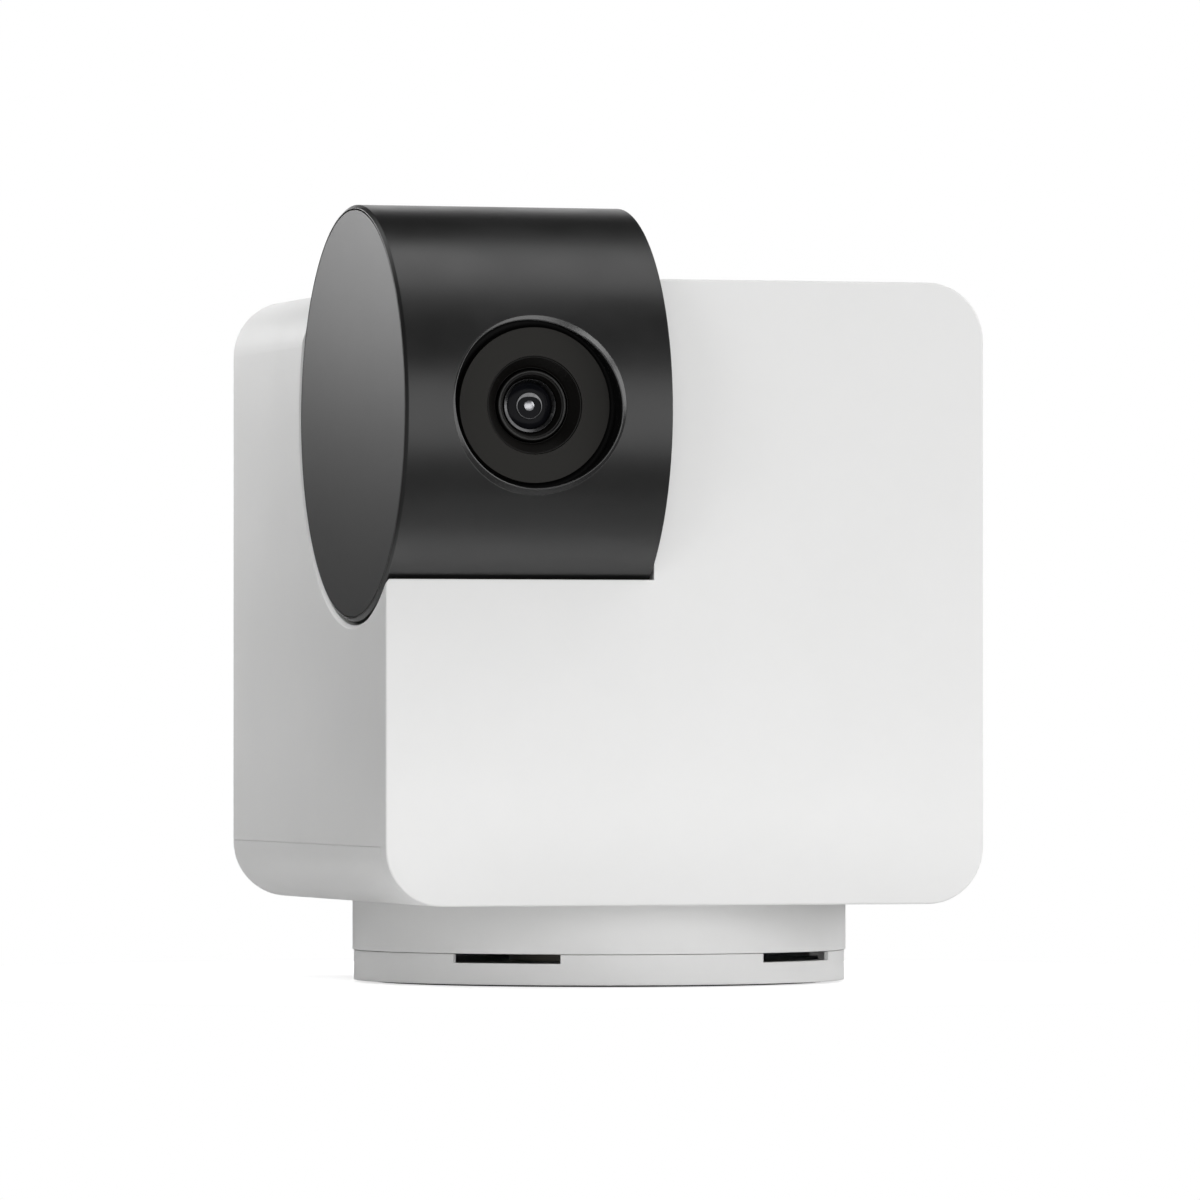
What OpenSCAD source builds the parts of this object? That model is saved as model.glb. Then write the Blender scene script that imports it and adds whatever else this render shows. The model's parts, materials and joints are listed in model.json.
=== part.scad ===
// Pet camera: a cube body that pans on a round base, with a cylindrical camera head that tilts.
// Millimetres. The origin is on the pan axis at the floor, the front faces -Y and +Z is up.

/* [Body] */
// Width of the body, side to side
body_w = 62; // [60:0.5:74]
// Height of the body above the pan collar
body_h = 62.2; // [61:0.1:74]
// Depth of the body, front face to rear face
body_d = 63; // [61:0.5:74]
// Radius of the four long corners of the body
corner_r = 5.8; // [4.5:0.1:7.5]
// Rounding round the front face
front_edge_r = 0.2; // [0.15:0.05:1.2]
// Rounding round the rear face
rear_edge_r = 1.2; // [0.6:0.1:1.8]
// Wall of the white mouldings
wall = 2; // [1.7:0.1:2.4]
// Height of the bottom tray, underside to seam
tray_h = 5.9; // [5:0.1:8]
// Screws that hold the tray: distance in from the side face
screw_inset = 8.5; // [8:0.1:9.5]

/* [Base] */
// Radius of the base ring
base_r = 25.1; // [24:0.1:28]
// Height of the visible base ring
band_h = 3.05; // [3:0.05:5]
// Wall of the base ring and of the collar
ring_wall = 1.8; // [1.4:0.1:2.2]
// Floor of the base
base_floor = 1.2; // [1:0.1:1.6]
// Thickness of the foot pad
foot_t = 1; // [0.8:0.1:1.4]
// Height of the foot pad below the base ring
foot_proud = 0.2; // [0.1:0.05:0.6]
// Height of the slots under the parting line
slot_h = 0.9; // [0.6:0.05:1]
// Arc of one slot, degrees
slot_arc = 26.8; // [10:0.2:40]
// Angle of the slots from the front and from the rear, degrees
slot_at = 38.4; // [30:0.2:60]
// Wall left at the ends of a slot
slot_skin = 0.45; // [0.4:0.05:0.8]
// Thickness of the lip inside the parting line
lip_t = 0.8; // [0.6:0.1:1]
// Height of the lip above the underside of the collar
lip_h = 0.4; // [0.2:0.05:0.5]

/* [Pan collar and drive] */
// Height of the collar under the body
collar_h = 5; // [4.4:0.05:7]
// Overhang of the collar over the base ring
collar_step = 0.15; // [0:0.05:0.6]
// Module of the pan gears
gear_mod = 0.5; // [0.45:0.05:0.5]
// Teeth of the fixed pan gear
gear_teeth = 46; // [42:1:48]
// Teeth of the pan pinion
pinion_teeth = 14; // [13:1:16]
// Face width of the pan gear
gear_t = 2.8; // [1.6:0.1:3]
// Radius of the pivot post
post_r = 5; // [4:0.1:5.5]
// Wall of the pan bush
bush_wall = 1.6; // [1.2:0.1:2]
// Thickness of the bush flange
bush_flange = 1.4; // [1:0.1:1.6]
// Height of the tray hub above the underside
hub_h = 7; // [5:0.1:9]
// Width of the pan stops, degrees
stop_arc = 4; // [2:0.5:4]

/* [Head] */
// Radius of the head
head_r = 20.8; // [20:0.1:22]
// Length of the head
head_len = 27.2; // [26:0.1:29]
// Tilt axis behind the front face
head_inset = 13; // [11.5:0.05:15]
// Tilt axis below the top face
head_drop = 13.2; // [12:0.05:15]
// Wall of the head shell
head_wall = 1.8; // [1.5:0.1:2.2]
// Rim of the head shell round the end cap
cap_rim = 0.4; // [0.4:0.05:0.8]
// Thickness of the end cap
cap_t = 1.6; // [1.2:0.1:2]
// Depth of the fine groove round the end cap
cap_groove = 0.5; // [0.2:0.1:0.8]
// Bevel round the left end of the head
rim_edge = 0.3; // [0.1:0.05:0.35]
// Bevel round the left mouth of the cradle
mouth_edge = 0.35; // [0.1:0.05:0.5]
// Wall of the cradle round the head
cradle_t = 1.6; // [1.2:0.1:2]
// End wall of the cradle
cradle_end = 2; // [1.6:0.1:2.6]
// Radius of the trunnion that carries the head
trunnion_r = 6.1; // [5.4:0.1:7]
// Bore of the trunnion
trunnion_bore = 4.2; // [4:0.1:4.6]

/* [Lens] */
// Height of the optical axis above the tilt axis
lens_rise = 0.35; // [0:0.05:0.8]
// Radius of the port in the head shell
port_r = 8.85; // [8.6:0.05:9.4]
// Depth of the bezel crest behind the front of the head
bezel_depth = 2.4; // [2:0.05:2.5]
// Depth of the window behind the front of the head
window_depth = 1.9; // [1.6:0.05:2.1]
// Radius of the window
window_r = 7.65; // [7.4:0.05:7.8]
// Thickness of the window
window_t = 1.1; // [0.8:0.1:1.4]
// Radius of the opening in the window
aperture_r = 4.8; // [4.6:0.05:5]
// Radius of the lens barrel
barrel_r = 3.5; // [3.2:0.05:3.6]
// Radius of the front glass
glass_r = 2.7; // [2.3:0.05:2.8]
// Distance from the barrel front to the sensor board
lens_track = 11.7; // [11:0.1:12.4]
// Side of the square sensor board
sensor_side = 20; // [19.5:0.5:21]
// Side of the square flange of the lens holder
holder_side = 12; // [11.5:0.5:13]
// Width of the image sensor
die_w = 6.8; // [5:0.1:7.5]
// Height of the image sensor
die_h = 5.4; // [4:0.1:7]
// Width of an infrared emitter
emitter_w = 1.7; // [1.4:0.1:1.8]
// Length of an infrared emitter
emitter_l = 2.4; // [1.8:0.1:2.5]

/* [Motors] */
// Radius of the motor cans
motor_r = 10; // [8.5:0.1:10]
// Length of the motor cans
motor_len = 15; // [13:0.5:17]
// Offset of the output shaft from the can axis
motor_offset = 5; // [4.5:0.1:5.5]
// Distance from the can axis to each mounting hole
ear_reach = 12.5; // [12.2:0.1:13.2]
// Radius of the output shafts
shaft_r = 2; // [1.5:0.05:2]

/* [Electronics] */
// Length of the main board
board_l = 46; // [40:0.5:48]
// Height of the main board
board_h = 34; // [30:0.5:35]
// Thickness of the boards
board_t = 1.2; // [0.8:0.1:1.6]
// Width of the power board
power_w = 34; // [32:0.5:35]
// Side of the square shield can
can_side = 18; // [14:0.5:19]
// Height of the shield can
can_t = 2.4; // [1.6:0.1:3]
// Width of the radio module
radio_w = 10; // [8:0.5:10.5]
// Height of the radio module
radio_h = 15; // [13:0.5:16]
// Length of the antenna strip
antenna_l = 28; // [20:0.5:34]
// Width of the antenna strip
antenna_w = 7; // [5:0.5:9]
// Width of a plug on the main board
plug_w = 6; // [5:0.1:7]
// Depth of a plug on the main board
plug_d = 3.6; // [3:0.1:4]
// Radius of the speaker
speaker_r = 14; // [12:0.1:14.5]
// Depth of the speaker
speaker_d = 7.2; // [6.5:0.1:9]
// Step from the speaker's rim in to its magnet
magnet_step = 4.5; // [4.2:0.1:6]
// Height of the speaker over the underside of the body
speaker_up = 36; // [34:0.5:40]
// Radius of the holes in the grille
grille_hole = 0.6; // [0.3:0.05:0.7]
// Rings of holes in the grille
grille_rings = 4; // [2:1:4]
// Radius of the microphone
mic_r = 1.7; // [1.2:0.1:1.7]
// Width of the reset switch
switch_w = 4.6; // [3.6:0.1:5]
// Radius of the plunger of the reset switch
plunger_r = 0.9; // [0.7:0.05:1.1]
// Radius of the reset button
button_r = 1.6; // [1.4:0.05:2]
// Travel of the reset button
button_travel = 0.4; // [0.2:0.05:0.6]

/* [Clearances] */
// Gap between the collar and the base ring
pan_gap = 0.05; // [0.05:0.01:0.3]
// Gap between the head and its cradle
head_gap = 0.35; // [0.2:0.05:0.6]
// Gap at the seam of the tray
seam_gap = 0.06; // [0.05:0.01:0.25]
// Radial running fit of shafts and bushes
run_fit = 0.05; // [0.02:0.01:0.08]
// Fit of pieces that sit in one another
seat_fit = 0.05; // [0.02:0.01:0.1]
// Thinning of the gear teeth at the pitch circle
backlash = 0.1; // [0.06:0.01:0.14]

/* [Hidden] */
$fn = 96;

white = [0.92, 0.92, 0.91];
black = [0.06, 0.06, 0.06];
steel = [0.72, 0.73, 0.75];
board_green = [0.05, 0.28, 0.16];
natural = [0.9, 0.89, 0.84];

// Arc by which the inside of a slot is longer at each end, degrees
slot_relief = 5;

// Levels of the base and the body
z_band0 = foot_proud;
z_band1 = z_band0 + band_h;
z_collar = z_band1 + pan_gap;
z_body0 = z_collar + collar_h;
z_body1 = z_body0 + body_h;
z_seam = z_body0 + tray_h;
z_floor0 = foot_t;
z_floor1 = z_floor0 + base_floor;
z_deck = z_body0 + wall;

// Faces of the body
x_left = -body_w / 2;
x_right = body_w / 2;
y_front = -body_d / 2;
y_rear = body_d / 2;
y_plate = y_front + wall;
y_back = y_rear - wall;
x_inside = x_right - wall;

// Pan drive
pan_reach = gear_mod * (gear_teeth + pinion_teeth) / 2;
thrust_gap = 0.04;
z_gear1 = z_body0 - bush_flange - thrust_gap;
z_gear0 = max(z_gear1 - gear_t, z_floor1 + 0.4);
bush_r = post_r + run_fit + bush_wall;
z_bush1 = z_body0 + hub_h;
z_post = z_bush1 + thrust_gap;
collar_r = base_r + collar_step;
stop_r0 = pan_reach + gear_mod * (pinion_teeth / 2 + 1) + 0.5;
stop_r1 = base_r - ring_wall - 0.4;
lip_r = base_r - ring_wall - 0.1;

// Head and cradle
head_y = y_front + head_inset;
head_z = z_body1 - head_drop;
x_head = x_left + head_len;
cradle_r = head_r + head_gap;
x_cradle = x_head + head_gap;
x_mount = x_cradle + cradle_end;
lens_x = x_left + head_len / 2;
lens_z = head_z + lens_rise;
y_nose = head_y - head_r;

// Stations along the optical axis
y_bezel = y_nose + bezel_depth;
y_window = y_nose + window_depth;
y_led = y_window + window_t + 1.9;
y_barrel = y_window + 1.05;
y_sensor = y_barrel + lens_track;

// Motors
ear_t = 0.8;
ear_r = 2.4;
boss_r = shaft_r + 1.6;
boss_h = 1.5;
motor_post = 2;
shaft_grip = 5.6;

// Angle of the pan motor: towards the right front corner, and round to the right where the body is shallow
ear_clear = 0.3;
can_reach = pan_reach + motor_offset;
front_room = -y_plate - seam_gap - wall - ear_r - ear_clear;
pan_at = -min(45, asin(min(1, front_room / norm([can_reach, ear_reach]))) - atan2(ear_reach, can_reach));

// Lead from the head to the main board, through a hole in the head and an arc slot in the cradle
lead_r = 1.1;
wire_r = 0.9;
lead_orbit = trunnion_r + 2.4;
lead_at = 170;
tilt_down = 20;
tilt_up = 90;
lead_y = head_y + lead_orbit * cos(lead_at);
lead_z = head_z + lead_orbit * sin(lead_at);

// Rear wall pieces
speaker_z = z_body0 + speaker_up;
z_power = z_body0 + 7.3;
z_inlet = z_power + board_t;
usb_w = 8.94;
usb_h = 3.26;
usb_d = 7.4;
button_x = -9.5;
mic_x = 9.5;
rear_z = z_inlet + 1.75;
power_y0 = 13;
power_y1 = y_back - 0.9 - button_travel;

// Quarter disc in the first quadrant
module quarter_disc(r) {
  intersection() {
    circle(r);
    square(r);
  }
}

// Half section of a block, with its two outer corners rounded
module edge_section(w, d, r0, r1) {
  translate([0, r0]) square([w, d - r0 - r1]);
  square([w - r0, r0]);
  translate([0, d - r1]) square([w - r1, r1]);
  translate([w - r0, r0]) mirror([0, 1]) quarter_disc(r0);
  translate([w - r1, d - r1]) quarter_disc(r1);
}

// Block along +Y with round long corners and rounded end edges
module rounded_block(w, h, d, r, r0, r1) {
  for (k = [0:3]) {
    a = k % 2 == 0 ? w / 2 : h / 2;
    b = k % 2 == 0 ? h / 2 : w / 2;
    rotate([0, 90 * k, 0]) {
      linear_extrude(2 * (b - r), center = true) edge_section(a, d, r0, r1);
      translate([a - r, 0, r - b]) rotate([-90, 0, 0]) rotate_extrude(angle = 90)
        edge_section(r, d, r0, r1);
    }
  }
}

// Block along +Y with round long corners and sharp ends
module plain_block(w, h, d, r) {
  for (k = [0:3]) {
    a = k % 2 == 0 ? w / 2 : h / 2;
    b = k % 2 == 0 ? h / 2 : w / 2;
    rotate([0, 90 * k, 0]) {
      translate([0, 0, r - b]) cube([a, d, 2 * (b - r)]);
      translate([a - r, 0, r - b]) rotate([-90, 0, 0]) rotate_extrude(angle = 90) square([r, d]);
    }
  }
}

// Box given by its two corners
module box(x0, x1, y0, y1, z0, z1) {
  translate([x0, y0, z0]) cube([x1 - x0, y1 - y0, z1 - z0]);
}

// Cylinder along +X
module rod_x(x0, x1, r) {
  translate([x0, 0, 0]) rotate([0, 90, 0]) cylinder(h = x1 - x0, r = r);
}

// Cone along +X
module flare_x(x0, x1, r0, r1) {
  translate([x0, 0, 0]) rotate([0, 90, 0]) cylinder(h = x1 - x0, r1 = r0, r2 = r1);
}

// Cylinder along +Y
module rod_y(y0, y1, r) {
  translate([0, y0, 0]) rotate([-90, 0, 0]) cylinder(h = y1 - y0, r = r);
}

// Cylinder along +Z
module rod_z(z0, z1, r) {
  translate([0, 0, z0]) cylinder(h = z1 - z0, r = r);
}

// Part of a ring between two radii over an arc centred on +X
module arc_ring(r0, r1, h, arc) {
  rotate([0, 0, -arc / 2]) rotate_extrude(angle = arc) translate([r0, 0]) square([r1 - r0, h]);
}

// Cross-head screw: head up from z = 0, shank down
module screw(head_r, head_h, shank_r, len) {
  difference() {
    union() {
      cylinder(h = head_h, r1 = head_r, r2 = head_r * 0.86);
      translate([0, 0, -len]) cylinder(h = len + head_h / 2, r = shank_r);
    }
    translate([-head_r * 0.6, -head_r * 0.13, head_h * 0.45]) cube([head_r * 1.2, head_r * 0.26, head_h]);
    translate([-head_r * 0.13, -head_r * 0.6, head_h * 0.45]) cube([head_r * 0.26, head_r * 1.2, head_h]);
  }
}

// Cylinder between two points
module rod_between(a, b, r) {
  d = b - a;
  translate(a) rotate([0, acos(d[2] / norm(d)), atan2(d[1], d[0])]) cylinder(h = norm(d), r = r);
}

// Lead through a list of points, with every other run a little thinner
module lead(points, r) {
  for (i = [1:len(points) - 1]) {
    rod_between(points[i - 1], points[i], i % 2 == 0 ? r * 0.93 : r);
  }
}

// Last points of a lead, into one of the plugs of the main board
function to_plug(k) = [
  [x_lead, board_y + plug_pitch * k, plug_z],
  [x_board - 1.2, board_y + plug_pitch * k, plug_z]
];

// Involute tooth form: polar angle of the flank at a radius, measured from the base circle
function flank_turn(rb, r) = sqrt(max(pow(r / rb, 2) - 1, 0)) * 180 / PI - acos(min(rb / r, 1));

// Half angle of a tooth at a radius
function half_tooth(teeth, rp, rb, r) =
  90 / teeth - backlash / rp * 45 / PI + flank_turn(rb, rp) - flank_turn(rb, max(r, rb));

function gear_points(teeth, m) =
  let (rp = teeth * m / 2)
  let (rb = rp * cos(20))
  let (r_tip = rp + 0.9 * m)
  let (r_root = rp - 1.2 * m)
  let (radii = [for (i = [0:4]) max(r_root, r_root + (r_tip - r_root) * i / 4)])
  [for (t = [0:teeth - 1]) for (s = [-1, 1]) for (i = [0:4])
    let (r = radii[s < 0 ? i : 4 - i])
    let (a = t * 360 / teeth + s * half_tooth(teeth, rp, rb, r))
    [r * cos(a), r * sin(a)]];

// Spur gear with a tooth centred on +X
module spur_gear(teeth, m, h) {
  linear_extrude(h) polygon(gear_points(teeth, m));
}

// Geared stepper: the shaft axis is at the origin, the mounting face at z = 0 and the can above it
module geared_motor() {
  difference() {
    union() {
      translate([motor_offset, 0, 0]) {
        rod_z(0, motor_len - 0.6, motor_r);
        rod_z(motor_len - 0.6, motor_len, motor_r - 0.6);
        for (s = [-1, 1]) {
          translate([0, s * ear_reach, 0]) rod_z(0, ear_t, ear_r);
          box(-ear_r, ear_r, min(0, s * ear_reach), max(0, s * ear_reach), 0, ear_t);
        }
        box(0, motor_r + 1.6, -4.5, 4.5, 3, motor_len - 3);
      }
      rod_z(-boss_h, 0.5, boss_r);
    }
    rod_z(-boss_h - 1, shaft_grip + 0.3, shaft_r + run_fit);
    for (s = [-1, 1]) {
      translate([motor_offset, s * ear_reach, 0]) rod_z(-1, ear_t + 1, 1.1);
    }
  }
}

// The two screws through the motor ears
module motor_ear_screws(len) {
  for (s = [-1, 1]) {
    translate([motor_offset, s * ear_reach, ear_t]) screw(1.9, 1.2, 0.95, len);
  }
}

// Pilot holes for the motor ear screws
module motor_ear_pilots(len) {
  for (s = [-1, 1]) {
    translate([motor_offset, s * ear_reach, 0]) rod_z(-len, 1, 1);
  }
}

// Output shaft with a flat along the part that stands out of the motor
module flat_shaft(len) {
  difference() {
    rod_z(-len, shaft_grip, shaft_r);
    box(shaft_r * 0.5, shaft_r + 1, -5, 5, -len - 1, -boss_h - 0.4);
  }
}

// Bore that fits the flat shaft
module flat_bore(z0, z1) {
  difference() {
    rod_z(z0, z1, shaft_r + seat_fit);
    box(shaft_r * 0.5 + seat_fit, shaft_r + 2, -5, 5, z0 - 1, z1 + 1);
  }
}

// Place on the pan pinion's axis, with +X outward
module at_pinion() {
  rotate([0, 0, pan_at]) translate([pan_reach, 0, 0]) children();
}

// Place on the tilt axis at the motor's mounting face, with the shaft towards the head
module at_tilt() {
  translate([x_mount + motor_post, head_y, head_z]) rotate([0, 90, 0]) rotate([0, 0, 45]) children();
}

// Place on the optical axis
module at_lens() {
  translate([lens_x, 0, lens_z]) children();
}

// Place on the tilt axis
module at_head() {
  translate([0, head_y, head_z]) children();
}

// Outer block of the body
module body_block() {
  translate([0, y_front, z_body0 + body_h / 2])
    rounded_block(body_w, body_h, body_d, corner_r, front_edge_r, rear_edge_r);
}

// Cavity of the body, from a station on Y to the rear wall
module body_cavity(y0) {
  translate([0, y0, z_body0 + body_h / 2])
    plain_block(body_w - 2 * wall, body_h - 2 * wall, y_back - y0, corner_r - wall);
}

// Places of the two tray screws
module at_tray_screws() {
  for (s = [-1, 1]) {
    translate([s * (x_right - screw_inset), y_rear - 6.2, 0]) children();
  }
}

// Places of the power board posts
module at_power_posts() {
  for (s = [-1, 1]) {
    for (y = [power_y0 + 2.5, power_y1 - 3]) {
      translate([s * (power_w / 2 - 2.4), y, 0]) children();
    }
  }
}

// Centre of the main board along Y and Z, and places of its four standoffs
board_y = -1;
board_z = z_body0 + body_h - wall - 4.5 - board_h / 2;
board_gap = 2.4;
x_board = x_inside - board_gap - board_t;
plug_z = board_z - board_h / 2 + 7.3;
plug_pitch = 8;
plug_rise = 2.2;
part_gap = 1.5;
can_z = plug_z + plug_rise + part_gap;
can_y = board_y - 6;
radio_z = can_z + 1;
radio_y = can_y - 2;
lead_clear = 0.4;
x_lead = min(x_mount + motor_post + motor_len + 2.2, x_board - plug_d - lead_r - lead_clear);
module at_board_posts() {
  for (y = [-1, 1]) {
    for (z = [-1, 1]) {
      translate([0, board_y + y * (board_l / 2 - 2.6), board_z + z * (board_h / 2 - 2.6)]) children();
    }
  }
}

// Places of the three base screws
module at_base_screws() {
  for (k = [0:2]) {
    rotate([0, 0, 120 * k + 30]) translate([post_r + 2.1, 0, 0]) children();
  }
}

// Places of the four sensor board posts
module at_sensor_posts() {
  for (x = [-1, 1]) {
    for (z = [-1, 1]) {
      translate([lens_x + x * (sensor_side / 2 - 1.7), 0, lens_z + z * (sensor_side / 2 - 1.7)]) children();
    }
  }
}

// Rubber pad under the base
module foot_pad() {
  color([0.2, 0.2, 0.21]) difference() {
    rod_z(0, foot_t, base_r - ring_wall - 0.3);
    for (k = [0:1]) {
      translate([0, 0, -1]) rotate_extrude() translate([base_r - ring_wall - 3 - 3 * k, 0])
        square([0.8, 1.25]);
    }
  }
}

// Base dish with the slots in its rim
module base_shell() {
  color(white) difference() {
    union() {
      rod_z(z_floor0, z_floor1, base_r - 0.4);
      difference() {
        rod_z(z_band0, z_band1, base_r);
        rod_z(z_band0 - 1, z_band1 + 1, base_r - ring_wall);
      }
      translate([0, 0, z_floor1]) rotate([0, 0, 90])
        arc_ring(stop_r0, stop_r1, z_collar - z_floor1 + 1.4, stop_arc);
      rotate_extrude() polygon([
        [lip_r - lip_t, z_band1 - 0.5], [lip_r + 0.4, z_band1 - 0.5], [lip_r + 0.4, z_band1 - 0.15],
        [lip_r, z_band1 - 0.15], [lip_r, z_collar + lip_h], [lip_r - lip_t, z_collar + lip_h]
      ]);
    }
    for (a = [-90 - slot_at, -90 + slot_at, 90 - slot_at, 90 + slot_at]) {
      translate([0, 0, z_band1 - slot_h]) rotate([0, 0, a])
        arc_ring(base_r - ring_wall - 1, base_r + 1, slot_h + 1, slot_arc);
      translate([0, 0, z_band1 - slot_h]) rotate([0, 0, a])
        arc_ring(base_r - ring_wall - 1.5, base_r - slot_skin, slot_h + 2, slot_arc + 2 * slot_relief);
    }
    at_base_screws() {
      rod_z(z_floor0 - 1, z_floor1 + 1, 1.1);
      translate([0, 0, z_floor0 - 0.01]) cylinder(h = 0.9, r1 = 2, r2 = 1.1);
    }
    rod_z(z_floor0 - 1, z_floor1 + 1, 1.5);
  }
}

// Countersunk screws from below, which hold the pan gear to the base
module base_screws() {
  color(steel) at_base_screws() {
    difference() {
      union() {
        translate([0, 0, z_floor0]) cylinder(h = 0.85, r1 = 1.93, r2 = 1.0);
        rod_z(z_floor0 + 0.5, z_gear0 + 0.8, 0.9);
      }
      box(-1.2, 1.2, -0.25, 0.25, z_floor0 - 1, z_floor0 + 0.4);
      box(-0.25, 0.25, -1.2, 1.2, z_floor0 - 1, z_floor0 + 0.4);
    }
  }
}

// Fixed gear with its flange and pivot post
module pan_gear() {
  color(natural) difference() {
    union() {
      rod_z(z_floor1, z_gear0 + 0.6, post_r + 4.2);
      rotate([0, 0, pan_at]) translate([0, 0, z_gear0]) spur_gear(gear_teeth, gear_mod, z_gear1 - z_gear0);
      rod_z(z_floor1, z_post, post_r);
    }
    at_base_screws() rod_z(z_floor1 - 1, z_gear0 + 1, 0.95);
    rod_z(z_post - 9, z_post + 1, 1.15);
  }
}

// Washer that keeps the tray hub on the post
module post_washer() {
  color(steel) difference() {
    rod_z(z_post, z_post + 0.8, bush_r + 0.9);
    rod_z(z_post - 1, z_post + 2, 1.3);
  }
}

// Screw in the top of the post
module post_screw() {
  color(steel) translate([0, 0, z_post + 0.8]) screw(2.6, 1.6, 1.1, 8);
}

// Bottom tray with the pan collar, hub, bosses and posts
module bottom_tray() {
  y_tray = y_plate + seam_gap;
  color(white) difference() {
    union() {
      difference() {
        intersection() {
          body_block();
          box(x_left - 1, x_right + 1, y_tray, y_rear + 1, z_body0 - 1, z_seam - seam_gap);
        }
        body_cavity(y_tray + wall);
      }
      for (s = [-1, 1]) {
        translate([s * (x_inside - 0.6), 0, 0])
          box(-0.5, 0.5, y_tray + wall, y_back - 0.1, z_seam - 2, z_seam + 1.5);
        translate([s * (x_inside - 0.3), 0, 0])
          box(-0.6, 0.6, y_tray + wall, y_back - 0.1, z_seam - 2, z_seam - seam_gap);
        translate([s * 14, 0, 0]) box(-4, 4, y_tray + 0.1, y_tray + 1.3, z_body0 + 1, z_seam + 3);
      }
      box(x_left + wall + 1, x_inside - 1, y_back - 1.1, y_back - 0.1, z_seam - 2, z_seam + 1.5);
      box(x_left + wall + 1, x_inside - 1, y_back - 1.1, y_back + 0.4, z_seam - 2, z_seam - seam_gap);
      difference() {
        rod_z(z_collar, z_body0 + 0.5, collar_r);
        rod_z(z_collar - 1, z_body0, collar_r - ring_wall);
      }
      rod_z(z_body0, z_bush1 - 0.1, bush_r + 2);
      at_tray_screws() rod_z(z_body0, z_seam + 1.5, 2.9);
      at_power_posts() rod_z(z_deck - 0.5, z_power, 2.1);
      translate([0, 0, z_collar + 0.7]) rotate([0, 0, -90])
        arc_ring(stop_r0, stop_r1 + 0.8, z_body0 - z_collar, stop_arc);
    }
    rod_z(z_body0 - 1, z_bush1 + 1, bush_r + seat_fit);
    at_tray_screws() {
      rod_z(z_body0 - 1, z_body0 + 2.2, 2.6);
      rod_z(z_body0 - 1, z_seam + 3, 1.3);
    }
    at_power_posts() rod_z(z_power - 4.5, z_power + 1, 1);
    at_pinion() {
      rod_z(z_body0 - 1, z_deck + 1, boss_r + 0.2);
      translate([0, 0, z_deck]) motor_ear_pilots(wall + 1);
    }
  }
}

// Flanged sleeve between the tray hub and the post
module pan_bush() {
  color(natural) difference() {
    union() {
      rod_z(z_body0 - bush_flange, z_body0, bush_r + 1.6);
      rod_z(z_body0 - bush_flange, z_bush1, bush_r);
    }
    rod_z(z_body0 - bush_flange - 1, z_bush1 + 1, post_r + run_fit);
  }
}

// Body moulding with the cradle for the head
module main_housing() {
  color(white) difference() {
    union() {
      difference() {
        body_block();
        body_cavity(y_plate);
        box(x_left - 1, x_right + 1, y_plate, y_rear + 1, z_body0 - 1, z_seam);
      }
      intersection() {
        body_block();
        at_head() rod_x(x_left - 1, x_mount, cradle_r + cradle_t);
      }
      at_tilt() motor_ear_posts();
      at_tray_screws() rod_z(z_seam + 1.6, z_seam + 12, 2.9);
      for (s = [-1, 1]) {
        translate([s * (x_right - screw_inset), y_rear - 6.2, z_seam + 1.6]) {
          box(min(0, s * (screw_inset - wall + 0.5)), max(0, s * (screw_inset - wall + 0.5)),
            -0.8, 0.8, 0, 10.4);
        }
        translate([s * 14, 0, 0]) box(-6, 6, y_plate - 0.3, y_plate + 3.4, z_seam + 0.6, z_seam + 4.6);
      }
      at_board_posts() rod_x(x_inside - board_gap, x_inside + 0.5, 2.2);
      translate([0, 0, speaker_z]) difference() {
        rod_y(y_back - 2.6, y_back + 0.5, speaker_r + 1.4);
        rod_y(y_back - 3, y_back + 1, speaker_r + 0.2);
      }
    }
    at_head() {
      rod_x(x_left - 5, x_cradle, cradle_r);
      flare_x(x_left - 1, x_left + mouth_edge + 1, cradle_r + mouth_edge + 1, cradle_r - 1);
      rod_x(x_cradle - 1, x_mount + 1, trunnion_r + run_fit);
      translate([x_cradle - 1, 0, 0]) rotate([0, 90, 0])
        rotate([0, 0, lead_at - 90 - (tilt_up - tilt_down) / 2 + 180])
        arc_ring(lead_orbit - 1.5, lead_orbit + 1.5, cradle_end + 2, tilt_up + tilt_down + 24);
    }
    at_tilt() motor_ear_pilots(motor_post + cradle_end - 0.6);
    at_tray_screws() rod_z(z_seam + 1, z_seam + 9, 1.1);
    for (s = [-1, 1]) {
      translate([s * 14, 0, 0]) box(-4.2, 4.2, y_plate, y_plate + 1.7, z_seam - 1, z_seam + 3.4);
    }
    at_board_posts() rod_x(x_inside - board_gap - 1, x_inside + 0.6, 0.8);
    translate([0, 0, speaker_z]) {
      rod_y(y_rear - 1.3, y_rear + 1, speaker_r + seat_fit);
      rod_y(y_back - 1, y_rear + 1, speaker_r - 1.2);
    }
    translate([0, y_back - 1, z_inlet + usb_h / 2]) plain_block(usb_w + 0.7, usb_h + 0.7, wall + 2, 1.6);
    translate([button_x, 0, rear_z]) rod_y(y_back - 1, y_rear + 1, button_r + 0.15);
    translate([mic_x, 0, rear_z]) rod_y(y_back - 1, y_rear + 1, 0.6);
  }
}

// Posts that carry the ears of the tilt motor
module motor_ear_posts() {
  for (s = [-1, 1]) {
    translate([motor_offset, s * ear_reach, 0]) rod_z(-motor_post - 0.5, 0, 2.4);
  }
}

// Screws that hold the tray to the body
module housing_screws() {
  color(steel) at_tray_screws() translate([0, 0, z_body0 + 2.2]) mirror([0, 0, 1])
    screw(2.3, 1.6, 1.05, tray_h + 4);
}

// Pan motor on the tray deck
module pan_motor() {
  color(steel) at_pinion() translate([0, 0, z_deck]) geared_motor();
}

module pan_motor_screws() {
  color(steel) at_pinion() translate([0, 0, z_deck]) motor_ear_screws(ear_t + wall - 0.2);
}

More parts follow.
